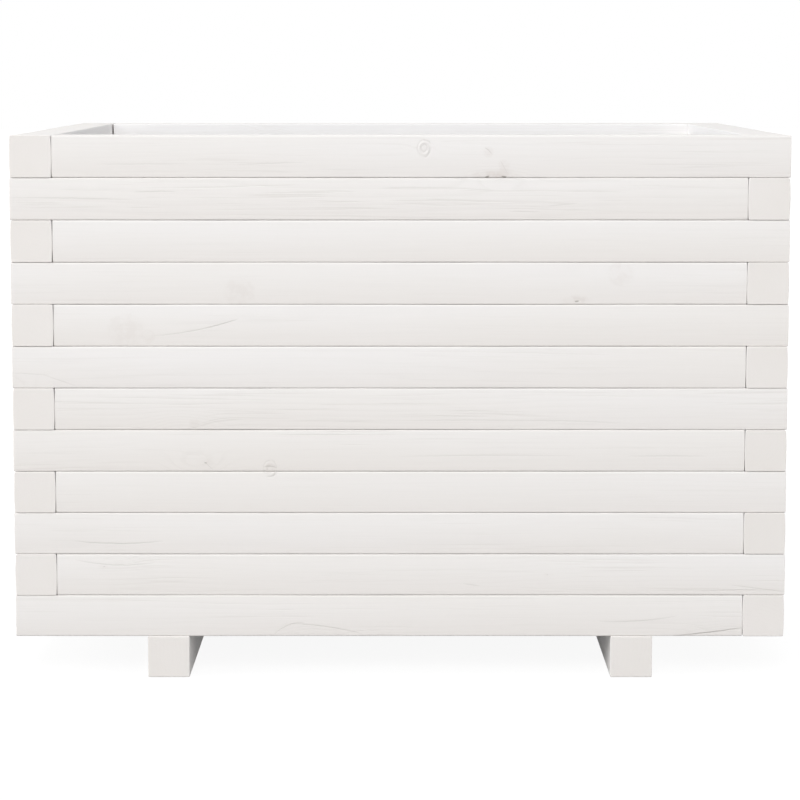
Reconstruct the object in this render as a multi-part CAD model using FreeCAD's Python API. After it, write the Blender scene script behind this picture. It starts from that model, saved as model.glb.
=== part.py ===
import FreeCAD, Part
import os

# Slatted timber planter box: square slats stacked in courses and lapped alternately at the
# corners, on two runner feet, with posts in the inner corners and a gapped floor.
# Millimetres. +X runs to the right along the front, +Y to the back and +Z up.
# The origin is on the ground under the middle of the box.

Vector = FreeCAD.Vector

# Outside of the box
LENGTH = 700.0
DEPTH = 500.0
COURSES = 12

# Slats of the four walls
SLAT_HEIGHT = 38.0
SLAT_THICKNESS = 38.0

# Planed edges of every timber
EDGE_RADIUS = 1.0
END_EASE = 0.6

# Runner feet, from front to back under the box
RUNNER_HEIGHT = 38.0
RUNNER_WIDTH = 38.0
RUNNER_INSET = 120.0

# Floor boards, across the runners, with gaps that drain
FLOOR_BOARDS = 3
FLOOR_THICKNESS = 18.0
FLOOR_WALL_GAP = 10.0
FLOOR_BOARD_GAP = 4.0
FLOOR_END_GAP = 3.0

# Posts in the inner corners, which stop short of the rim
POST_SIZE = 28.0
POST_TOP_DROP = 16.0
POST_NOTCH_CLEARANCE = 1.5

# Countersunk wood screws with a cross recess
SCREW_RADIUS = 2.0
SCREW_BITE = 22.0
SCREW_TIP = 6.0
HEAD_RADIUS = 4.0
HEAD_RIM = 0.5
HEAD_CONE = 2.0
RECESS_SPAN = 4.4
RECESS_WIDTH = 1.1
RECESS_DEPTH = 1.4
HOLE_CLEARANCE = 0.1

# Where the screws go
LONG_SCREW_RISE = 7.0
END_SCREW_RISE = 16.0
FLOOR_SCREW_EDGE = 25.0
RUNNER_RECESS_DEPTH = 10.0
RUNNER_RECESS_RADIUS = 5.0

# Planes and spans that follow from the sizes above
RIGHT = LENGTH / 2
BACK = DEPTH / 2
INNER_RIGHT = RIGHT - SLAT_THICKNESS
INNER_BACK = BACK - SLAT_THICKNESS
WALL_TOP = RUNNER_HEIGHT + COURSES * SLAT_HEIGHT
FLOOR_TOP = RUNNER_HEIGHT + FLOOR_THICKNESS
FLOOR_SPAN = 2 * (INNER_BACK - FLOOR_WALL_GAP)
FLOOR_BOARD_WIDTH = (FLOOR_SPAN - (FLOOR_BOARDS - 1) * FLOOR_BOARD_GAP) / FLOOR_BOARDS
POST_TOP = WALL_TOP - POST_TOP_DROP
RUNNER_X = RIGHT - RUNNER_INSET - RUNNER_WIDTH / 2
WALL_MIDDLE_Y = BACK - SLAT_THICKNESS / 2

# Each screw is as long as the timber it passes plus its bite into the next one
POST_SCREW_LENGTH = POST_SIZE + SCREW_BITE
FLOOR_SCREW_LENGTH = FLOOR_THICKNESS + SCREW_BITE
RUNNER_SCREW_LENGTH = RUNNER_HEIGHT - RUNNER_RECESS_DEPTH + SCREW_BITE

DOWN = Vector(0, 0, -1)
UP = Vector(0, 0, 1)
ORIGIN = Vector(0, 0, 0)
SIDES = (-1, 1)
X_SIDES = (("left", -1), ("right", 1))
Y_SIDES = (("front", -1), ("back", 1))
OVERRUN = 1.0  # how far a cut passes the face that it opens
SAME_PLACE = 0.001


def is_across(edge, grain):
    # True for an edge that lies in a plane square to the grain.
    along = [vertex.Point[grain] for vertex in edge.Vertexes]
    return max(along) - min(along) < SAME_PLACE


def timber(low, high, grain):
    # A planed bar from corner to corner, its long edges rounded and its ends eased.
    # grain is 0, 1 or 2 for a bar that runs along X, Y or Z.
    size = high - low
    bar = Part.makeBox(size.x, size.y, size.z, low)
    bar = bar.makeFillet(EDGE_RADIUS, [edge for edge in bar.Edges if not is_across(edge, grain)])
    return bar.makeChamfer(END_EASE, [edge for edge in bar.Edges if is_across(edge, grain)])


def less(piece, tools):
    # The piece without what the tools take out of it.
    near = [tool for tool in tools if tool.BoundBox.intersect(piece.BoundBox)]
    return piece.cut(near) if near else piece


def screw_blank(length, grow):
    # A screw turned from its half outline, head at the origin and point down, grown all round.
    head = HEAD_RADIUS + grow
    shank = SCREW_RADIUS + grow
    outline = [
        ORIGIN,
        Vector(head, 0, 0),
        Vector(head, 0, -HEAD_RIM),
        Vector(shank, 0, -HEAD_RIM - HEAD_CONE),
        Vector(shank, 0, SCREW_TIP - length),
        Vector(0, 0, -length - grow),
        ORIGIN,
    ]
    return Part.Face(Part.makePolygon(outline)).revolve(ORIGIN, UP, 360)


def recess_slot(span_x, span_y):
    corner = Vector(-span_x / 2, -span_y / 2, -RECESS_DEPTH)
    return Part.makeBox(span_x, span_y, RECESS_DEPTH + OVERRUN, corner)


def make_screw(length):
    cross = [recess_slot(RECESS_SPAN, RECESS_WIDTH), recess_slot(RECESS_WIDTH, RECESS_SPAN)]
    return screw_blank(length, 0).cut(cross)


def make_hole(length, mouth_radius, mouth_depth):
    # What a screw takes out of the timbers, with an open mouth above its head.
    mouth = Part.makeCylinder(mouth_radius, mouth_depth + OVERRUN)
    return screw_blank(length, HOLE_CLEARANCE).fuse(mouth)


def driven(shape, places):
    # A copy of a screw or hole at each place, with its head at the point, driven along the way.
    copies = []
    for point, way in places:
        copy = shape.copy()
        copy.Placement = FreeCAD.Placement(point, FreeCAD.Rotation(DOWN, way))
        copies.append(copy)
    return copies


def wall_slats():
    # In each course the front and back slats are flush with one end wall and butt against the
    # other. The slat of the wall that they butt against runs the full depth, and the opposite one
    # fits between them. The flush end changes side from course to course.
    slats = {}
    for course in range(COURSES):
        low = RUNNER_HEIGHT + course * SLAT_HEIGHT
        high = low + SLAT_HEIGHT
        flush = 1 if course % 2 else -1
        for name, side in Y_SIDES:
            xs = sorted((flush * RIGHT, -flush * INNER_RIGHT))
            ys = sorted((side * BACK, side * INNER_BACK))
            slat = timber(Vector(xs[0], ys[0], low), Vector(xs[1], ys[1], high), 0)
            slats[f"{name}_slat_{course + 1:02d}"] = slat
        for name, side in X_SIDES:
            xs = sorted((side * RIGHT, side * INNER_RIGHT))
            reach = INNER_BACK if side == flush else BACK
            slat = timber(Vector(xs[0], -reach, low), Vector(xs[1], reach, high), 1)
            slats[f"{name}_slat_{course + 1:02d}"] = slat
    return slats


def runners():
    feet = {}
    for name, side in X_SIDES:
        middle = side * RUNNER_X
        low = Vector(middle - RUNNER_WIDTH / 2, -BACK, 0)
        high = Vector(middle + RUNNER_WIDTH / 2, BACK, RUNNER_HEIGHT)
        feet[f"{name}_runner"] = timber(low, high, 1)
    return feet


def inner_corner(side_x, side_y, size):
    # Spans along X and Y of a square in an inner corner of the box.
    xs = sorted((side_x * INNER_RIGHT, side_x * (INNER_RIGHT - size)))
    ys = sorted((side_y * INNER_BACK, side_y * (INNER_BACK - size)))
    return xs, ys


def corner_posts():
    posts = {}
    for y_name, side_y in Y_SIDES:
        for x_name, side_x in X_SIDES:
            xs, ys = inner_corner(side_x, side_y, POST_SIZE)
            low = Vector(xs[0], ys[0], RUNNER_HEIGHT)
            high = Vector(xs[1], ys[1], POST_TOP)
            posts[f"{y_name}_{x_name}_post"] = timber(low, high, 2)
    return posts


def floor_fronts():
    # Front edge of each floor board.
    step = FLOOR_BOARD_WIDTH + FLOOR_BOARD_GAP
    return [FLOOR_WALL_GAP - INNER_BACK + row * step for row in range(FLOOR_BOARDS)]


def post_notches():
    # Blocks that clear the posts where the outer floor boards pass them.
    notches = []
    for side_x in SIDES:
        for side_y in SIDES:
            size = POST_SIZE + POST_NOTCH_CLEARANCE
            xs, ys = inner_corner(side_x, side_y, size)
            corner = Vector(xs[0], ys[0], RUNNER_HEIGHT - OVERRUN)
            notches.append(Part.makeBox(size, size, FLOOR_THICKNESS + 2 * OVERRUN, corner))
    return notches


def floor_boards():
    half_length = INNER_RIGHT - FLOOR_END_GAP
    notches = post_notches()
    boards = {}
    for row, front in enumerate(floor_fronts()):
        low = Vector(-half_length, front, RUNNER_HEIGHT)
        high = Vector(half_length, front + FLOOR_BOARD_WIDTH, FLOOR_TOP)
        boards[f"floor_board_{row + 1}"] = less(timber(low, high, 0), notches)
    return boards


def post_screw_places():
    # Through each post into the long wall and, higher up, into the end wall, at every course.
    places = []
    for course in range(COURSES):
        course_low = RUNNER_HEIGHT + course * SLAT_HEIGHT
        for side_x in SIDES:
            for side_y in SIDES:
                middle_x = side_x * (INNER_RIGHT - POST_SIZE / 2)
                middle_y = side_y * (INNER_BACK - POST_SIZE / 2)
                face_x = side_x * (INNER_RIGHT - POST_SIZE)
                face_y = side_y * (INNER_BACK - POST_SIZE)
                long_point = Vector(middle_x, face_y, course_low + LONG_SCREW_RISE)
                end_point = Vector(face_x, middle_y, course_low + END_SCREW_RISE)
                places.append((long_point, Vector(0, side_y, 0)))
                places.append((end_point, Vector(side_x, 0, 0)))
    return places


def floor_screw_places():
    # Down through every floor board into both runners, near each long edge of the board.
    places = []
    for front in floor_fronts():
        for rise in (FLOOR_SCREW_EDGE, FLOOR_BOARD_WIDTH - FLOOR_SCREW_EDGE):
            for side_x in SIDES:
                places.append((Vector(side_x * RUNNER_X, front + rise, FLOOR_TOP), DOWN))
    return places


def runner_screw_places():
    # Up from a recess under each runner into the lowest front and back slats.
    places = []
    for side_x in SIDES:
        for side_y in SIDES:
            point = Vector(side_x * RUNNER_X, side_y * WALL_MIDDLE_Y, RUNNER_RECESS_DEPTH)
            places.append((point, UP))
    return places


def build():
    # Every node by name: the timbers with their screw holes, and the screws in three groups.
    nodes = {**wall_slats(), **runners(), **corner_posts(), **floor_boards()}
    flush_mouth = HEAD_RADIUS + HOLE_CLEARANCE
    groups = (
        ("post_screws", post_screw_places(), POST_SCREW_LENGTH, flush_mouth, 0),
        ("floor_screws", floor_screw_places(), FLOOR_SCREW_LENGTH, flush_mouth, 0),
        ("runner_screws", runner_screw_places(), RUNNER_SCREW_LENGTH,
         RUNNER_RECESS_RADIUS, RUNNER_RECESS_DEPTH),
    )
    holes = []
    for name, places, length, mouth_radius, mouth_depth in groups:
        holes += driven(make_hole(length, mouth_radius, mouth_depth), places)
    nodes = {name: less(piece, holes) for name, piece in nodes.items()}
    for name, places, length, mouth_radius, mouth_depth in groups:
        nodes[name] = Part.makeCompound(driven(make_screw(length), places))
    return nodes


os.makedirs("parts", exist_ok=True)
for node_name, node_shape in build().items():
    node_shape.exportStep(f"parts/{node_name}.step")
    print(node_name, len(node_shape.Solids), "solids", round(node_shape.Volume), "mm3")
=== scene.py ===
import math
import random

import bpy
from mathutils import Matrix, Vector


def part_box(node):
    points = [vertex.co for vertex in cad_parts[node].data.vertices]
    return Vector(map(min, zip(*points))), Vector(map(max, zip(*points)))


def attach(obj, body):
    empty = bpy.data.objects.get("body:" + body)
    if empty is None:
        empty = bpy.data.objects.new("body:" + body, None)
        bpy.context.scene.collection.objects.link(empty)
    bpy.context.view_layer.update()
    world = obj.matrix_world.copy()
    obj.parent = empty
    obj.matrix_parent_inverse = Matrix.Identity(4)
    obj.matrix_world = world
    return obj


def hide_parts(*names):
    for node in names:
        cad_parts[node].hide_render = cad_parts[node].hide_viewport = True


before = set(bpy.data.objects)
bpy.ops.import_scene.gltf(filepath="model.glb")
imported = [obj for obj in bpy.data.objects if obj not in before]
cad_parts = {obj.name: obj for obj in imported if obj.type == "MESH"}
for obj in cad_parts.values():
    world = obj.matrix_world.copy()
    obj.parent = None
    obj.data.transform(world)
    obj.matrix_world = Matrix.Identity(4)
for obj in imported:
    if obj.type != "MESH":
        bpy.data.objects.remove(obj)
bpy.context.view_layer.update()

scene = bpy.context.scene
scene.view_settings.view_transform = "Standard"
mm = 0.001
print("frame: %d CAD nodes" % len(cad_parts))


# node work shared by the geometry trees, the shader groups and the materials

class NodeBench:
    def __init__(self, tree):
        self.tree = tree

    def feed(self, socket, value):
        if isinstance(value, bpy.types.NodeSocket):
            self.tree.links.new(value, socket)
        else:
            socket.default_value = value

    def add(self, kind, inputs=None, **settings):
        node = self.tree.nodes.new(kind)
        for name, value in settings.items():
            setattr(node, name, value)
        for name, value in (inputs or {}).items():
            self.feed(node.inputs[name], value)
        return node

    def calc(self, operation, *values):
        node = self.add("ShaderNodeMath", operation=operation)
        for socket, value in zip(node.inputs, values):
            self.feed(socket, value)
        return node.outputs[0]

    def total(self, *values):
        result = values[0]
        for value in values[1:]:
            result = self.calc("ADD", result, value)
        return result

    def times(self, *values):
        result = values[0]
        for value in values[1:]:
            result = self.calc("MULTIPLY", result, value)
        return result

    def less(self, a, b):
        return self.calc("SUBTRACT", a, b)

    def over(self, a, b):
        return self.calc("DIVIDE", a, b)

    def stretch(self, value, low, high, toLow=0.0, toHigh=1.0, kind="LINEAR"):
        node = self.add("ShaderNodeMapRange", interpolation_type=kind)
        for name, given in (("Value", value), ("From Min", low), ("From Max", high),
                            ("To Min", toLow), ("To Max", toHigh)):
            self.feed(node.inputs[name], given)
        return node.outputs[0]

    def gate(self, value, low, high):           # 0 at low, 1 at high, smooth between them
        return self.stretch(value, low, high, kind="SMOOTHSTEP")

    def bell(self, value, centre, width):       # 1 at the centre, gone about two widths away
        off = self.over(self.less(value, centre), width)
        return self.calc("EXPONENT", self.times(off, off, -1.0))

    def length(self, a, b):
        return self.calc("SQRT", self.total(self.times(a, a), self.times(b, b)))

    def join(self, x, y, z):
        return self.add("ShaderNodeCombineXYZ", {"X": x, "Y": y, "Z": z}).outputs[0]

    def split(self, vector):
        return self.add("ShaderNodeSeparateXYZ", {"Vector": vector}).outputs[:3]

    def noise(self, vector, scale=1.0, detail=2.0, roughness=0.5):
        node = self.add("ShaderNodeTexNoise", {"Vector": vector, "Scale": scale,
                                               "Detail": detail, "Roughness": roughness})
        return node.outputs[0]

    def tint(self, share, first, second):
        node = self.add("ShaderNodeMix", data_type="RGBA")
        self.feed(node.inputs[0], share)
        self.feed(node.inputs[6], first)
        self.feed(node.inputs[7], second)
        return node.outputs[2]


def newTree(name, kind, inputs, outputs):
    tree = bpy.data.node_groups.new(name, kind)
    for label, socketKind in inputs:
        tree.interface.new_socket(name=label, in_out="INPUT", socket_type="NodeSocket" + socketKind)
    for label, socketKind in outputs:
        tree.interface.new_socket(name=label, in_out="OUTPUT", socket_type="NodeSocket" + socketKind)
    bench = NodeBench(tree)
    return bench, bench.add("NodeGroupInput").outputs, bench.add("NodeGroupOutput").inputs


def newMaterial(name):
    material = bpy.data.materials.new(name)
    material.use_nodes = True
    material.node_tree.nodes.clear()
    return material, NodeBench(material.node_tree)


def shade(red, green, blue):    # a screen colour, 0 to 255, as the linear colour that the sockets take
    parts = [value / 255 for value in (red, green, blue)]
    return tuple(p / 12.92 if p <= 0.04045 else ((p + 0.055) / 1.055) ** 2.4 for p in parts) + (1.0,)


# marks in the timber: each is a place along and up the piece, and a reach
# knot: rings that sink a little     nick: small dark dent with a stain round it
# swirl: grain that bends aside      blush: warm patch where the wood shows through
# split: fine line from a start to an end, raised instead of sunk where its depth is negative,
#        with a bend that lifts its middle

markLetters = {"knot": "AB", "nick": "AB", "swirl": "AB", "blush": "AB"}       # as many as a piece can have
splitLetters = "ABCD"
markKinds = [kind.capitalize() + " " + letter for kind, letters in markLetters.items() for letter in letters]
markKinds += ["Split %s %s" % (letter, end) for letter in splitLetters for end in ("Start", "End")]
noMark = (9.0, 9.0, 0.0)    # far off the piece, and with no reach

markShape = {               # lengths count in the mark's own reaches where they have no mm
    "wobble": 210.0,        # waves per metre in the outlines
    "leastReach": 0.05 * mm,
    "patch": {"waves": 130.0, "edge": (0.38, 0.6), "least": 0.3},
    "hill": {"long": 0.2, "height": 0.95},
    "knot": {"stray": 0.35, "tall": 0.8, "core": (1.0, 0.7),
             "rings": [(0.95, 0.1, 1.0), (0.68, 0.13, -1.0), (0.4, 0.12, 0.8)]},    # place, width, depth
    "swirl": {"stray": 0.2},
    "nick": {"stray": 0.9, "flat": 2.4, "edge": (0.95, 0.35), "full": (0.6 * mm, 2.6 * mm),
             "stain": (0.16, 0.38), "stainEdge": (1.0, 0.4), "stainShow": 1.3},
    "blush": {"stray": 0.5, "edge": (1.15, 0.45), "show": 0.7, "rim": (0.95, 0.15), "rimShow": 0.3},
    "split": {"stray": 0.9 * mm, "width": 0.45 * mm, "fade": 0.6},
}


def buildMarkGroup():
    bench, given, out = newTree("timberMarks", "ShaderNodeTree",
                                [("Place", "Vector"), ("Outward", "Float")]
                                + [(kind, "Vector") for kind in markKinds],
                                [(name, "Float") for name in ("Hill", "Groove", "Core", "Nick", "Blush",
                                                              "Split")])
    calc, total, times, less, over = bench.calc, bench.total, bench.times, bench.less, bench.over
    spot = bench.split(given["Place"])
    along, up = spot[0], spot[2]
    wobble = bench.add("ShaderNodeTexNoise", {"Vector": given["Place"], "Scale": markShape["wobble"]})
    strayAlong, strayUp = [less(part, 0.5) for part in bench.split(wobble.outputs[1])[:2]]
    patch = markShape["patch"]
    patchy = bench.gate(bench.noise(given["Place"], scale=patch["waves"]), *patch["edge"])
    found = {name: [] for name in ("Hill", "Groove", "Core", "Nick", "Blush", "Split")}

    def eachMark(kind):         # how far a point lies from each mark, in that mark's reaches, and its reach
        for letter in markLetters[kind]:
            markAlong, markUp, markReach = bench.split(given[kind.capitalize() + " " + letter])
            reach = calc("MAXIMUM", markReach, markShape["leastReach"])
            stray = markShape[kind]["stray"]
            offAlong = total(over(less(along, markAlong), reach), times(strayAlong, stray))
            offUp = total(over(less(up, markUp), reach), times(strayUp, stray))
            yield offAlong, offUp, reach

    def hill(offAlong, offUp, reach):
        spread = total(times(offAlong, offAlong, markShape["hill"]["long"]), times(offUp, offUp))
        return times(calc("EXPONENT", times(spread, -1.0)), reach, markShape["hill"]["height"])

    knot = markShape["knot"]
    for offAlong, offUp, reach in eachMark("knot"):
        ring = bench.length(offAlong, times(offUp, knot["tall"]))
        found["Hill"].append(hill(offAlong, offUp, reach))
        found["Groove"] += [times(bench.bell(ring, place, width), depth)
                            for place, width, depth in knot["rings"]]
        found["Core"].append(bench.gate(ring, *knot["core"]))
    for offAlong, offUp, reach in eachMark("swirl"):
        found["Hill"].append(hill(offAlong, offUp, reach))
    nick = markShape["nick"]
    for offAlong, offUp, reach in eachMark("nick"):
        deep = bench.stretch(reach, *nick["full"])              # a small nick is a shallow one
        dent = bench.length(offAlong, times(offUp, nick["flat"]))
        found["Nick"].append(times(bench.gate(dent, *nick["edge"]), deep))
        stain = bench.length(times(offAlong, nick["stain"][0]), times(offUp, nick["stain"][1]))
        found["Blush"].append(times(bench.gate(stain, *nick["stainEdge"]), deep, nick["stainShow"]))
    blush = markShape["blush"]
    for offAlong, offUp, reach in eachMark("blush"):
        ring = bench.length(offAlong, offUp)
        found["Blush"] += [times(bench.gate(ring, *blush["edge"]), blush["show"]),
                           times(bench.bell(ring, *blush["rim"]), blush["rimShow"])]
    line = markShape["split"]
    for letter in splitLetters:
        startAlong, startUp, depth = bench.split(given["Split %s Start" % letter])
        endAlong, endUp, bend = bench.split(given["Split %s End" % letter])
        run = bench.stretch(along, startAlong, endAlong)
        bow = times(run, less(1.0, run), bend, 4.0)             # as high as the bend, halfway along
        lineUp = total(startUp, times(run, less(endUp, startUp)), bow, times(strayUp, line["stray"]))
        fade = calc("POWER", calc("SINE", times(run, math.pi)), line["fade"])
        found["Split"].append(times(bench.bell(up, lineUp, line["width"]), fade, depth))
    for name, values in found.items():
        shown = total(*values)
        if name in ("Groove", "Blush"):             # these are uneven
            shown = times(shown, bench.stretch(patchy, 0, 1, patch["least"], 1.0))
        if name in ("Nick", "Blush", "Split"):      # these lie on the outer face only
            shown = times(shown, given["Outward"])
        bench.feed(out[name], shown)
    return bench.tree


# grain: rings round a pith that runs along the piece, fine fibres, long streaks and slow drifts;
# waves are counted per metre along and across the grain, and an edge goes from none to all

grainShape = {
    "slow": {"waves": (2.2, 9), "detail": 1.0, "roughness": 0.5},
    "quick": {"waves": (13, 55), "detail": 2.0, "roughness": 0.5, "share": 0.1},
    "fibre": {"waves": (12, 640), "detail": 3.0, "roughness": 0.6, "edge": (0.3, 0.7)},
    "streak": {"waves": (9, 560), "detail": 2.0, "roughness": 0.55, "edge": (0.58, 0.67), "follow": 0.8},
    "thin": {"waves": (4, 22), "detail": 2.0, "roughness": 0.5, "edge": (0.4, 0.68)},
    "tone": {"waves": (1.6, 11), "detail": 2.0, "roughness": 0.5, "edge": (0.3, 0.7)},
    "lateRise": (0.45, 0.9),                # late wood darkens over this part of a ring
    "lateFall": (1.0, 0.9),                 # and stops at once
    "pithBack": (18 * mm, 70 * mm),         # how far the pith lies behind the piece's middle
    "pithUp": (-70 * mm, 70 * mm),
    "seedStep": 3.17,                       # metres between the grain of one seed and the next
}


def buildGrainGroup():
    bench, given, out = newTree("pineGrain", "ShaderNodeTree",
                                [("Place", "Vector"), ("Seed", "Float"), ("Hill", "Float"),
                                 ("Ring Width", "Float"), ("Waver", "Float")],
                                [(name, "Float") for name in ("Late Wood", "Fibre", "Streak", "Thin Paint",
                                                              "Tone")])
    calc, total, times, less, over = bench.calc, bench.total, bench.times, bench.less, bench.over
    along, through, up = bench.split(given["Place"])
    seed = given["Seed"]
    shifted = total(along, times(seed, grainShape["seedStep"]))

    def drift(kind, warp=0.0):
        longWaves, crossWaves = grainShape[kind]["waves"]
        at = bench.join(times(shifted, longWaves), times(through, crossWaves),
                        times(total(up, warp), crossWaves))
        return bench.noise(at, detail=grainShape[kind]["detail"], roughness=grainShape[kind]["roughness"])

    pithBack = bench.stretch(calc("SINE", times(seed, 12.9)), -1, 1, *grainShape["pithBack"])
    pithUp = bench.stretch(calc("SINE", times(seed, 7.3)), -1, 1, *grainShape["pithUp"])
    fromPith = bench.length(less(through, pithBack), less(up, pithUp))
    slow = times(less(drift("slow"), 0.5), given["Waver"])
    quick = times(less(drift("quick"), 0.5), given["Waver"], grainShape["quick"]["share"])
    phase = calc("FRACT", over(total(fromPith, given["Hill"], slow, quick), given["Ring Width"]))
    follow = times(total(slow, given["Hill"]), grainShape["streak"]["follow"])
    bench.feed(out["Late Wood"], times(bench.gate(phase, *grainShape["lateRise"]),
                                       bench.gate(phase, *grainShape["lateFall"])))
    bench.feed(out["Fibre"], bench.stretch(drift("fibre"), *grainShape["fibre"]["edge"]))
    bench.feed(out["Streak"], bench.gate(drift("streak", follow), *grainShape["streak"]["edge"]))
    bench.feed(out["Thin Paint"], bench.gate(drift("thin"), *grainShape["thin"]["edge"]))
    bench.feed(out["Tone"], bench.stretch(drift("tone"), *grainShape["tone"]["edge"]))
    return bench.tree


markGroup = buildMarkGroup()
grainGroup = buildGrainGroup()


# painted pine: one material for the slats and one for each other way that the timber runs

paintLook = {
    "coolWhite": shade(239, 237, 236),
    "warmWhite": shade(236, 233, 230),
    "lowPaintedShade": shade(234, 228, 223),       # painted shade: darker and warmer towards the lower edge of a slat
    "innerLightTint": shade(235, 235, 236),     # painted cool light on the faces that turn inwards, against the warm light they bounce
    "grainShade": shade(204, 199, 194),
    "blushShade": shade(214, 206, 201),
    "ringShade": shade(200, 195, 191),      # the rings of a knot
    "nickShade": shade(140, 135, 128),
    "endShades": (shade(235, 231, 228), shade(232, 228, 224)),
    "lineShow": 0.11,           # how much of each mark shows through the paint
    "streakShow": 0.2,
    "fibreShow": 0.05,
    "blushShow": 0.28,
    "coreShow": 0.1,
    "grooveShow": 0.27,
    "nickShow": 0.7,
    "splitShow": 0.4,
    "lowShadeShow": 0.4,             # how much of the painted shade at the lower edge and of the painted cool light inside shows in its place
    "innerLightShow": 0.8,
    "sawnShow": 0.85,
    "solidShow": 0.8,           # how strongly the grain shows on runners, boards and posts
    "thinLines": (0.2, 0.7),    # share of the grain lines under full paint and under thin paint
    "thinStreaks": (0.3, 1.0),
    "lowShadeFrom": (0.3, -0.5),     # where the painted shade at the lower edge grows, in heights of the slat, from its middle
    "sawnDepth": (0.4 * mm, 0.2 * mm),
    "sawnGrain": (0.85, 0.12),  # how much of the tone and of the rings shows on a sawn end
    "asideFrom": (0.8 * mm, 6 * mm),        # how far rings bend round a mark before they show more
    "asideShow": 0.75,
    "ringWidth": 3.6 * mm,
    "waver": 24 * mm,
    "roughness": (0.52, 0.66),
    "roughGrain": (0.6, 0.4),   # how much the lines and the fibres add to it
    "specular": 0.15,
    "relief": {"lines": -0.16, "streaks": -0.42, "fibre": 0.09, "groove": -0.95, "core": -0.2,
               "nick": -1.0, "split": -0.8},
    "reliefDepth": 0.4 * mm,
    "reliefStrength": 0.6,
}


def paintedPine(name, look, timber=None):
    material, bench = newMaterial(name)
    calc, total, times, less = bench.calc, bench.total, bench.times, bench.less

    def kept(label):            # what the slat's mesh keeps under this name
        return bench.add("ShaderNodeAttribute", attribute_name=label).outputs["Vector"]

    if timber is None:          # a slat's grain, seed and marks are kept on its mesh
        place = kept("grainPlace")
        seed, show, inward = bench.split(kept("slatFacts"))
        fromEnd, upShare, outward = bench.split(kept("slatSpots"))
        marks = {kind: kept(kind) for kind in markKinds}
    else:                       # other timbers go by their place in the planter, turned along the grain
        spot = bench.split(bench.add("ShaderNodeTexCoord").outputs["Object"])
        along, through, up = [spot["xyz".index(letter)] for letter in timber["order"]]
        place = bench.join(along, through, up)
        seed, show, outward = timber["seed"], look["solidShow"], 1.0
        fromEnd = calc("MINIMUM", less(along, timber["ends"][0]), less(timber["ends"][1], along))
        marks = dict(zip(("Knot A", "Knot B"), timber["knots"]))
    placedMarks = {kind: marks.get(kind, noMark) for kind in markKinds}
    marked = bench.add("ShaderNodeGroup", node_tree=markGroup)
    for label, value in {"Place": place, "Outward": outward, **placedMarks}.items():
        bench.feed(marked.inputs[label], value)
    hill, groove, core, nick, blush, split = marked.outputs[:6]
    grain = bench.add("ShaderNodeGroup", node_tree=grainGroup)
    for label, value in {"Place": place, "Seed": seed, "Hill": hill, "Ring Width": look["ringWidth"],
                         "Waver": look["waver"]}.items():
        bench.feed(grain.inputs[label], value)
    late, fibre, streak, thin, tone = grain.outputs[:5]

    aside = bench.stretch(hill, *look["asideFrom"], 0.0, look["asideShow"])
    lines = times(late, calc("MAXIMUM", times(show, bench.stretch(thin, 0, 1, *look["thinLines"])), aside))
    streaks = times(streak, show, bench.stretch(thin, 0, 1, *look["thinStreaks"]))
    colour = bench.tint(tone, look["coolWhite"], look["warmWhite"])
    if timber is None:
        # painted cool light on the faces that turn inwards
        colour = bench.tint(times(inward, look["innerLightShow"]), colour, look["innerLightTint"])
        # painted shade: darker and warmer towards each slat's lower edge
        low = bench.stretch(upShare, *look["lowShadeFrom"], 0.0, look["lowShadeShow"])
        colour = bench.tint(low, colour, look["lowPaintedShade"])
    showing = total(times(lines, look["lineShow"]), times(streaks, look["streakShow"]),
                    times(fibre, look["fibreShow"]))
    colour = bench.tint(showing, colour, look["grainShade"])
    warm = total(times(blush, look["blushShow"]), times(core, look["coreShow"]))
    colour = bench.tint(warm, colour, look["blushShade"])
    rings = times(calc("MAXIMUM", groove, 0.0), look["grooveShow"])
    colour = bench.tint(rings, colour, look["ringShade"])
    dark = total(times(nick, look["nickShow"]), times(calc("MAXIMUM", split, 0.0), look["splitShow"]))
    colour = bench.tint(calc("MINIMUM", dark, 1.0), colour, look["nickShade"])
    sawn = bench.stretch(fromEnd, *look["sawnDepth"])
    sawnGrain = total(times(tone, look["sawnGrain"][0]), times(late, look["sawnGrain"][1]))
    sawnColour = bench.tint(sawnGrain, *look["endShades"])
    colour = bench.tint(times(sawn, look["sawnShow"]), colour, sawnColour)
    roughGrain = total(times(lines, look["roughGrain"][0]), times(fibre, look["roughGrain"][1]))
    rough = bench.stretch(roughGrain, 0, 1, *look["roughness"])
    layers = {"lines": lines, "streaks": streaks, "fibre": fibre, "groove": groove, "core": core,
              "nick": nick, "split": split}
    relief = total(*[times(layers[layer], height) for layer, height in look["relief"].items()])
    bump = bench.add("ShaderNodeBump", {"Height": relief, "Strength": look["reliefStrength"],
                                        "Distance": look["reliefDepth"]})
    shader = bench.add("ShaderNodeBsdfPrincipled", {"Base Color": colour, "Roughness": rough,
                                                    "Normal": bump.outputs[0]})
    shader.inputs["Specular IOR Level"].default_value = look["specular"]
    bench.add("ShaderNodeOutputMaterial", {"Surface": shader.outputs[0]})
    return material


slatPaint = paintedPine("slatPaint", paintLook)
print("materials: painted pine")


# slats: a geometry tree that turns a block into an eased, slightly crowned slat

slatShape = {
    "Edge Radius": 1.0 * mm,
    "End Ease": 0.45 * mm,
    "Crown": 0.6 * mm,          # how far the faces fall away towards the long edges
    "Wander": 0.25 * mm,        # how far saw and plane strayed from straight
    "Steps Along": 40,
    "Steps Across": 13,
}
faceSteps = [(0.34, 0.5), (0.667, 0.955)]       # the steps on a face crowd towards its edges
wanderWaves = (6.5, 1.6)                        # per metre along, and per half of a face across
outwardBand = (2 * mm, -2 * mm)                 # from the slat's middle: the outer marks fade in here
inwardBand = (1.3 * mm, 0.8 * mm)               # under the inner face: the painted cool light fades in here
crispAngle = 0.5                                # radians; an edge bent further isn't smoothed


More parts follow.
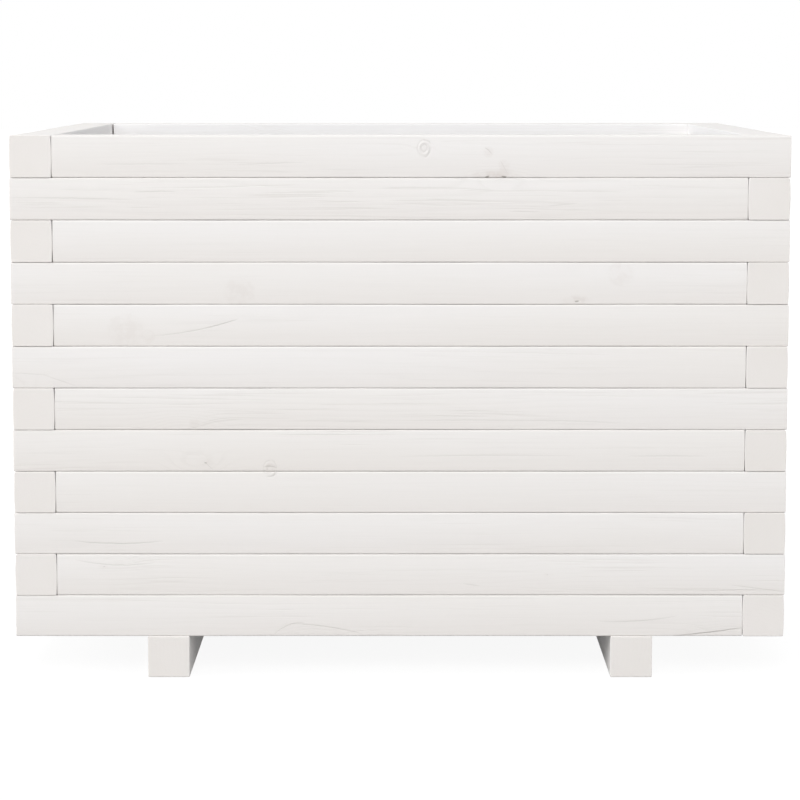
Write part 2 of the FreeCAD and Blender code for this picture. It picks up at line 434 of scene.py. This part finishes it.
def buildSlatTree():
    bench, given, out = newTree("slatMaker", "GeometryNodeTree",
                                [("Length", "Float"), ("Thickness", "Float"), ("Height", "Float"),
                                 ("Edge Radius", "Float"), ("End Ease", "Float"), ("Crown", "Float"),
                                 ("Wander", "Float"), ("Steps Along", "Int"), ("Steps Across", "Int"),
                                 ("Seed", "Float"), ("Grain Show", "Float"), ("Turn", "Float"),
                                 ("Middle", "Vector")]
                                + [(kind, "Vector") for kind in markKinds] + [("Finish", "Material")],
                                [("Geometry", "Geometry")])
    calc, total, times, less, over = bench.calc, bench.total, bench.times, bench.less, bench.over
    radius = given["Edge Radius"]
    ease = given["End Ease"]
    seed = given["Seed"]
    halfLong = times(given["Length"], 0.5)
    halfThick = times(given["Thickness"], 0.5)
    halfHigh = times(given["Height"], 0.5)
    block = bench.add("GeometryNodeMeshCube", {"Size": (2, 2, 2), "Vertices X": given["Steps Along"],
                                               "Vertices Y": given["Steps Across"],
                                               "Vertices Z": given["Steps Across"]})
    blockLong, blockThick, blockHigh = bench.split(bench.add("GeometryNodeInputPosition").outputs[0])

    # along the slat, the last step at each end is the ease
    lastStep = over(2.0, less(given["Steps Along"], 1))
    reach = calc("ABSOLUTE", blockLong)
    straight = calc("MINIMUM", over(reach, less(1.0, lastStep)), 1.0)
    easing = bench.stretch(reach, less(1.0, lastStep), 1.0)
    along = times(calc("SIGN", blockLong), total(times(straight, less(halfLong, ease)), times(easing, ease)))

    # across it, half of the steps lie on the face and half on the rounded edge
    def level(value, half):
        doubled = times(calc("ABSOLUTE", value), 2.0)
        curve = bench.add("ShaderNodeFloatCurve", {"Value": calc("MINIMUM", doubled, 1.0)})
        points = curve.mapping.curves[0].points
        for before, after in faceSteps:
            points.new(before, after)
        for point in points:
            point.handle_type = "VECTOR"
        curve.mapping.update()
        bend = calc("MAXIMUM", less(doubled, 1.0), 0.0)
        return times(calc("SIGN", value), total(times(curve.outputs[0], less(half, radius)),
                                                times(bend, radius)))

    def inside(value, half):
        flat = less(half, radius)
        return calc("MAXIMUM", calc("MINIMUM", value, flat), times(flat, -1.0))

    squareThick = level(blockThick, halfThick)
    squareHigh = level(blockHigh, halfHigh)
    coreThick = inside(squareThick, halfThick)
    coreHigh = inside(squareHigh, halfHigh)
    restThick = less(squareThick, coreThick)
    restHigh = less(squareHigh, coreHigh)
    largest = calc("MAXIMUM", calc("ABSOLUTE", restThick), calc("ABSOLUTE", restHigh))
    pull = over(largest, calc("MAXIMUM", bench.length(restThick, restHigh), 1e-7))
    thick = total(coreThick, times(restThick, pull))
    high = total(coreHigh, times(restHigh, pull))

    # crown on the two faces that show, then a slow wander, both only ever inwards
    highShare = over(high, halfHigh)
    thickShare = over(thick, halfThick)
    crowned = times(thick, less(1.0, times(over(given["Crown"], halfThick), highShare, highShare)))

    def stray(side, shift):
        across = total(times(side, wanderWaves[1]), times(seed, 3.7))
        at = bench.join(times(along, wanderWaves[0]), across, total(seed, shift))
        return bench.stretch(bench.noise(at), 0.3, 0.7)

    wandered = times(high, less(1.0, times(over(given["Wander"], halfHigh), stray(highShare, 0.0))))
    bowed = times(crowned, less(1.0, times(over(given["Wander"], halfThick), stray(thickShare, 41.0))))
    squeezeThick = less(1.0, times(easing, over(ease, halfThick)))
    squeezeHigh = less(1.0, times(easing, over(ease, halfHigh)))
    shaped = bench.add("GeometryNodeSetPosition",
                       {"Geometry": block.outputs["Mesh"],
                        "Position": bench.join(along, times(bowed, squeezeThick),
                                               times(wandered, squeezeHigh))})

    # what the paint needs to know about this slat
    held = shaped.outputs[0]
    place = bench.add("GeometryNodeInputPosition").outputs[0]
    placeAlong, placeThrough, placeUp = bench.split(place)
    fromEnd = less(halfLong, calc("ABSOLUTE", placeAlong))
    outward = bench.stretch(placeThrough, *outwardBand)
    inward = bench.stretch(placeThrough, *[less(halfThick, depth) for depth in inwardBand])
    facts = [("grainPlace", place),
             ("slatSpots", bench.join(fromEnd, over(placeUp, given["Height"]), outward)),
             ("slatFacts", bench.join(seed, given["Grain Show"], inward))]
    for name, value in facts + [(kind, given[kind]) for kind in markKinds]:
        keep = bench.add("GeometryNodeStoreNamedAttribute", {"Geometry": held, "Name": name},
                         data_type="FLOAT_VECTOR", domain="POINT")
        bench.feed([s for s in keep.inputs if s.name == "Value" and s.enabled][0], value)
        held = keep.outputs[0]
    turn = bench.add("FunctionNodeEulerToRotation", {"Euler": bench.join(0.0, 0.0, given["Turn"])})
    placed = bench.add("GeometryNodeTransform", {"Geometry": held, "Translation": given["Middle"],
                                                 "Rotation": turn.outputs[0]})
    smooth = bench.add("GeometryNodeSetShadeSmooth", {"Geometry": placed.outputs[0]}, domain="FACE")
    bentEdge = calc("GREATER_THAN", bench.add("GeometryNodeInputMeshEdgeAngle").outputs[0], crispAngle)
    crisp = bench.add("GeometryNodeSetShadeSmooth", {"Geometry": smooth.outputs[0], "Selection": bentEdge,
                                                     "Shade Smooth": False}, domain="EDGE")
    real = bench.add("GeometryNodeRealizeInstances", {"Geometry": crisp.outputs[0]})
    finished = bench.add("GeometryNodeSetMaterial", {"Geometry": real.outputs[0],
                                                     "Material": given["Finish"]})
    bench.feed(out["Geometry"], finished.outputs[0])
    return bench.tree


slatTree = buildSlatTree()


def runTree(name, tree, values):
    sockets = {item.name: item.identifier for item in tree.interface.items_tree
               if item.item_type == "SOCKET" and item.in_out == "INPUT"}
    piece = bpy.data.objects.new(name, bpy.data.meshes.new(name))
    scene.collection.objects.link(piece)
    modifier = piece.modifiers.new("maker", "NODES")
    modifier.node_group = tree
    for label, value in values.items():
        modifier[sockets[label]] = value
    graph = bpy.context.evaluated_depsgraph_get()
    made = bpy.data.meshes.new_from_object(piece.evaluated_get(graph), preserve_all_data_layers=True,
                                           depsgraph=graph)
    piece.modifiers.clear()
    piece.data = made
    made.name = name
    return piece


# marks on the front slats, in millimetres from the planter's middle and up from the ground;
# "show" is how strongly the grain shows
frontMarks = {
    12: {"show": 0.55, "knot": [(21.5, 482.4, 6.3)], "nick": [(78, 457, 2.8), (93, 457, 3.2)],
         "swirl": [(86, 452, 14)], "blush": [(79, 479, 4.5), (93, 467, 5.0)],
         "split": [(75.5, 483, 82.5, 476.5, 0.7, 1.0), (89.5, 472, 96, 460, 0.4, 0),
                   (-273, 468.4, -189, 468.9, 0.35, -0.4), (-146, 467.6, -84, 469.9, 0.4, 0.3)]},
    11: {"show": 1.0, "swirl": [(88, 460, 12)],
         "split": [(132, 430.6, 159, 433, 0.4, 0), (97, 426, 126, 425.4, 0.4, 0),
                   (-353, 438.2, -238, 436.4, 0.45, 0.4), (-239, 443.4, -200, 443.8, 0.5, 0.2)]},
    10: {"show": 0.3},
    9: {"show": 0.4, "nick": [(159, 345, 2.5)], "blush": [(-145, 353, 13), (198, 370, 11)],
        "split": [(191, 364.7, 211, 364.7, -0.5, 0)]},
    8: {"show": 0.5, "blush": [(-247, 319, 15), (-227, 313, 6)],
        "split": [(-222, 314, -146, 329, 0.55, -2.8), (-176, 320.5, -145.5, 329.1, 0.6, -0.5)]},
    7: {"show": 0.6, "swirl": [(-362, 264, 14)],
        "split": [(-350, 280.2, -316, 278, 0.35, 0), (-322, 278.5, -292, 268, 0.35, 0)]},
    6: {"show": 0.9, "swirl": [(-198, 230, 13)], "blush": [(-186, 234.5, 4.5)],
        "split": [(195, 234, 252, 234, -0.4, 0), (8, 236.6, 112, 236.4, 0.4, 0.6),
                  (98, 236.7, 204, 234.2, 0.4, 0.8)]},
    5: {"show": 0.8, "knot": [(-117.5, 192.5, 6.3)], "nick": [(-176, 198, 1.7)], "swirl": [(-184, 196, 13)],
        "split": [(-178, 199.5, -169, 191.5, 0.5, 0), (-124, 194.2, -111.5, 193.6, 0.9, 0.8),
                  (-2, 203.8, 160, 204.6, 0.35, 0.5), (205, 204.2, 278, 204.2, 0.4, 0)]},
    4: {"show": 0.3, "knot": [(-117.5, 192.5, 6.3)]},
    3: {"show": 0.5, "swirl": [(-257, 114, 8)], "split": [(-296, 126.4, -215, 126.3, 0.75, -2.6)]},
    2: {"show": 0.9, "nick": [(-269, 102.5, 1.3), (134, 95, 1.2)], "swirl": [(-256, 110, 8)],
        "split": [(-296, 109.3, -222, 106.6, 0.55, -4.0), (268, 79.5, 352, 80.2, 0.35, 1.0),
                  (300, 85.5, 353, 78.6, 0.45, 0.2), (57, 86.8, 73, 84.7, 0.4, 0)]},
    1: {"show": 0.9, "swirl": [(-78, 36, 12), (300, 34, 15)],
        "split": [(-116, 38.5, -87, 50, 0.6, 4.2), (-99, 49.6, -34, 40, 0.65, 2.0),
                  (246, 38.0, 318, 46.8, 1.4, -0.7), (181, 52.1, 253, 57.1, 0.5, -2.4)]},
}
chanceLook = {              # for the slats that the photograph doesn't show
    "show": (0.3, 1.0),
    "knot": (1, 5.0, 7.5),  # the most on a slat, and the least and greatest reach in millimetres
    "nick": (1, 1.2, 2.4),
    "swirl": (2, 8, 15),
    "blush": (1, 4, 12),
    "spread": (0.46, 0.45),     # of the length and the height, either way from the middle
    "splitShare": 0.3,      # of the slats have a split
    "splitStart": (-0.4, 0.3),
    "splitRise": (-0.35, 0.35),
    "splitRun": (18, 60),
    "splitClimb": (-4, 4),
    "splitDepth": 0.5,
    "splitBend": 0.04,      # of its run
}
chance = random.Random(41)


def chanceMarks(length, height):
    wide, tall = chanceLook["spread"]

    def places(most, smallest, largest):
        return [(chance.uniform(-wide, wide) * length, chance.uniform(-tall, tall) * height,
                 chance.uniform(smallest, largest)) for count in range(chance.randint(0, most))]

    found = {"show": chance.uniform(*chanceLook["show"])}
    for kind in markLetters:
        found[kind] = places(*chanceLook[kind])
    start = chance.uniform(*chanceLook["splitStart"]) * length
    rise = chance.uniform(*chanceLook["splitRise"]) * height
    if chance.random() < chanceLook["splitShare"]:
        run = chance.uniform(*chanceLook["splitRun"])
        climb = chance.uniform(*chanceLook["splitClimb"])
        found["split"] = [(start, rise, start + run, rise + climb, chanceLook["splitDepth"],
                           chanceLook["splitBend"] * run)]
    return found


def markValues(found):      # the tree's inputs for a slat's marks, given in millimetres from its middle
    values = {kind: noMark for kind in markKinds}
    for kind, letters in markLetters.items():
        for letter, mark in zip(letters, found.get(kind, [])):
            values[kind.capitalize() + " " + letter] = [part * mm for part in mark]
    for letter, line in zip(splitLetters, found.get("split", [])):
        startAlong, startUp, endAlong, endUp, depth, bend = line
        values["Split %s Start" % letter] = (startAlong * mm, startUp * mm, depth)
        values["Split %s End" % letter] = (endAlong * mm, endUp * mm, bend * mm)
    values["Grain Show"] = found["show"]
    return values


def fromMiddle(found, middle):      # the same marks, measured from the slat's middle
    x, z = middle.x / mm, middle.z / mm
    moved = {"show": found["show"]}
    for kind in markLetters:
        moved[kind] = [(along - x, up - z, reach) for along, up, reach in found.get(kind, [])]
    moved["split"] = [(startX - x, startZ - z, endX - x, endZ - z, depth, bend)
                      for startX, startZ, endX, endZ, depth, bend in found.get("split", [])]
    return moved


wallTurns = {"front": 0.0, "right": math.pi / 2, "back": math.pi, "left": -math.pi / 2}
openJoint = {"slat": "back_slat_12", "gap": 1.1 * mm}       # the top back slat was cut a little short
slats = []
for nodeName in sorted(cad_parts):
    if "_slat_" not in nodeName:
        continue
    wall, course = nodeName.split("_slat_")
    low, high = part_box(nodeName)
    if nodeName == openJoint["slat"]:
        low = low + Vector((openJoint["gap"], 0, 0))
    middle = (low + high) / 2
    size = high - low
    length, thickness = (size.x, size.y) if wall in ("front", "back") else (size.y, size.x)
    if wall == "front":
        marks = fromMiddle(frontMarks[int(course)], middle)
    else:
        marks = chanceMarks(length / mm, size.z / mm)
    if nodeName == openJoint["slat"]:
        marks["knot"] = []              # its inner face is clear where it shows over the front rim
    values = {"Length": length, "Thickness": thickness, "Height": size.z, "Seed": chance.uniform(0, 20),
              "Turn": wallTurns[wall], "Middle": middle, "Finish": slatPaint}
    slat = runTree(wall + "Slat" + course, slatTree, {**values, **slatShape, **markValues(marks)})
    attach(slat, "root")
    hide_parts(nodeName)
    slats.append(slat)
print("slats: %d, %d faces each" % (len(slats), len(slats[0].data.polygons)))


# runners, floor boards and posts keep their solids and take the same paint, turned their way;
# order gives the axes along the grain, through the piece and up or across its face

timberLook = {
    "runner": {"order": "yxz", "seed": 0.37, "knots": [(-0.11, 0.02, 5 * mm), (0.13, 0.01, 6 * mm)]},
    "floor_board": {"order": "xzy", "seed": 1.9, "knots": [(-0.12, -0.13, 7 * mm), (0.17, 0.02, 6 * mm)]},
    "post": {"order": "zyx", "seed": 3.1, "knots": [(0.21, 0.29, 5 * mm), (0.33, -0.29, 6 * mm)]},
}
timberNodes = {part: [name for name in sorted(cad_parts) if part in name and "screws" not in name]
               for part in timberLook}


def paintSolid(nodeName, paint):
    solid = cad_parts[nodeName].data
    solid.materials.clear()
    solid.materials.append(paint)


for part, timber in timberLook.items():
    low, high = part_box(timberNodes[part][0])
    grain = "xyz".index(timber["order"][0])
    paint = paintedPine(part + "Paint", paintLook, {**timber, "ends": (low[grain], high[grain])})
    for nodeName in timberNodes[part]:
        paintSolid(nodeName, paint)
print("painted solids: %d" % sum(len(names) for names in timberNodes.values()))


# screws: zinc plated steel

zincLook = {
    "bright": shade(188, 188, 184),
    "dull": shade(158, 157, 152),
    "cloudWaves": 260.0,        # per metre
    "fineWaves": 1900.0,
    "roughness": (0.28, 0.5),
    "reliefDepth": 0.1 * mm,
    "reliefStrength": 0.2,
}


def zincSteel(look):
    material, bench = newMaterial("screwZinc")
    spot = bench.add("ShaderNodeTexCoord").outputs["Object"]
    cloud = bench.noise(spot, scale=look["cloudWaves"], detail=4.0)
    fine = bench.noise(spot, scale=look["fineWaves"])
    colour = bench.tint(bench.stretch(cloud, 0.35, 0.65), look["bright"], look["dull"])
    rough = bench.stretch(cloud, 0.3, 0.7, *look["roughness"])
    bump = bench.add("ShaderNodeBump", {"Height": fine, "Strength": look["reliefStrength"],
                                        "Distance": look["reliefDepth"]})
    shader = bench.add("ShaderNodeBsdfPrincipled", {"Base Color": colour, "Roughness": rough,
                                                    "Normal": bump.outputs[0]})
    shader.inputs["Metallic"].default_value = 1.0
    bench.add("ShaderNodeOutputMaterial", {"Surface": shader.outputs[0]})
    return material


screwZinc = zincSteel(zincLook)
screwGroups = [name for name in sorted(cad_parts) if name.endswith("screws")]
for nodeName in screwGroups:
    paintSolid(nodeName, screwZinc)
print("screw groups: %d" % len(screwGroups))


# floor, light and camera

stageLook = {
    "floorShade": shade(149, 149, 149),     # what the floor throws back at the planter
    "floorWhite": shade(98, 98, 98),        # the share that takes the planter's shadow
    "glow": 0.92,                           # the share that is plain white to the camera
    "glowGrows": (0.7, 1.7),                # metres from the middle over which that grows to all
    "floorReach": 20,
    "worldFill": 0.525,
}


def seenAsWhite(bench):     # straight on, in a reflection or through glass
    path = bench.add("ShaderNodeLightPath").outputs
    seen = bench.calc("MAXIMUM", path["Is Camera Ray"], path["Is Glossy Ray"])
    return bench.calc("MAXIMUM", seen, path["Is Transmission Ray"])


def makeFloor():
    mesh = bpy.data.meshes.new("studioFloor")
    far = stageLook["floorReach"]
    mesh.from_pydata([(-far, -far, 0), (far, -far, 0), (far, far, 0), (-far, far, 0)], [], [(0, 1, 2, 3)])
    floor = bpy.data.objects.new("studioFloor", mesh)
    scene.collection.objects.link(floor)
    material, bench = newMaterial("studioFloor")
    thrown = bench.add("ShaderNodeBsdfDiffuse", {"Color": stageLook["floorShade"]})
    spot = bench.add("ShaderNodeTexCoord").outputs["Object"]
    away = bench.add("ShaderNodeVectorMath", {0: spot}, operation="LENGTH").outputs["Value"]
    bright = bench.stretch(away, *stageLook["glowGrows"], stageLook["glow"], 1.0, kind="SMOOTHSTEP")
    glow = bench.add("ShaderNodeEmission", {"Strength": bright})
    pale = bench.add("ShaderNodeBsdfDiffuse", {"Color": stageLook["floorWhite"]})
    seen = bench.add("ShaderNodeAddShader", {0: pale.outputs[0], 1: glow.outputs[0]})
    choice = bench.add("ShaderNodeMixShader", {0: seenAsWhite(bench), 1: thrown.outputs[0],
                                               2: seen.outputs[0]})
    bench.add("ShaderNodeOutputMaterial", {"Surface": choice.outputs[0]})
    mesh.materials.append(material)


def makeWorld():
    world = bpy.data.worlds.new("studio")
    scene.world = world
    world.use_nodes = True
    bench = NodeBench(world.node_tree)
    bench.tree.nodes.clear()
    fill = bench.add("ShaderNodeBackground", {"Color": (1, 1, 1, 1), "Strength": stageLook["worldFill"]})
    white = bench.add("ShaderNodeBackground", {"Color": (1, 1, 1, 1), "Strength": 1.0})
    choice = bench.add("ShaderNodeMixShader", {0: seenAsWhite(bench), 1: fill.outputs[0],
                                               2: white.outputs[0]})
    bench.add("ShaderNodeOutputWorld", {"Surface": choice.outputs[0]})


# degrees from straight ahead towards the left and up, metres, and watts
lampLook = {
    "keyLamp": {"fromLeft": 12.0, "height": 35.0, "away": 8.0, "size": 3.0, "power": 184.0},
    "leftLamp": {"fromLeft": 75.0, "height": 19.0, "away": 7.0, "size": 4.4, "power": 280.0},
    "rightLamp": {"fromLeft": -60.0, "height": 15.0, "away": 7.0, "size": 4.0, "power": 96.0},
    "topLamp": {"fromLeft": 10.0, "height": 70.0, "away": 9.0, "size": 5.0, "power": 74.0},
    "lowLamp": {"fromLeft": 0.0, "height": 5.0, "away": 5.0, "size": 2.0, "power": 25.0},
    "backFill": {"fromLeft": 180.0, "height": 8.0, "away": 7.0, "size": 2.0, "power": 115.0},
    "rightFill": {"fromLeft": -100.0, "height": 0.0, "away": 7.0, "size": 0.36, "power": 75.0},
}
lampTarget = Vector((0, -0.2, 0.3))


def makeLamp(name, look):
    lamp = bpy.data.lights.new(name, "AREA")
    lamp.shape = "DISK"
    lamp.size = look["size"]
    lamp.energy = look["power"]
    holder = bpy.data.objects.new(name, lamp)
    left, rise = math.radians(look["fromLeft"]), math.radians(look["height"])
    way = Vector((-math.sin(left) * math.cos(rise), -math.cos(left) * math.cos(rise), math.sin(rise)))
    holder.location = lampTarget + way * look["away"]
    holder.rotation_euler = (math.pi / 2 - rise, 0, -left)
    holder.visible_camera = False
    holder.visible_glossy = "Fill" not in name      # a fill leaves no shine along the rim
    scene.collection.objects.link(holder)


photoCamera = {"place": (0, -2.3967, 0.5523), "tilt": 5.58, "lens": 107.9, "sensor": 36, "shift": -0.12}


def makeCamera():
    lens = bpy.data.cameras.new("photoCamera")
    lens.lens = photoCamera["lens"]
    lens.sensor_width = photoCamera["sensor"]
    lens.shift_y = photoCamera["shift"]
    holder = bpy.data.objects.new("photoCamera", lens)
    holder.location = photoCamera["place"]
    holder.rotation_euler = (math.radians(90 - photoCamera["tilt"]), 0, 0)
    scene.collection.objects.link(holder)
    scene.camera = holder


makeFloor()
makeWorld()
for lampName, look in lampLook.items():
    makeLamp(lampName, look)
makeCamera()
print("stage set")
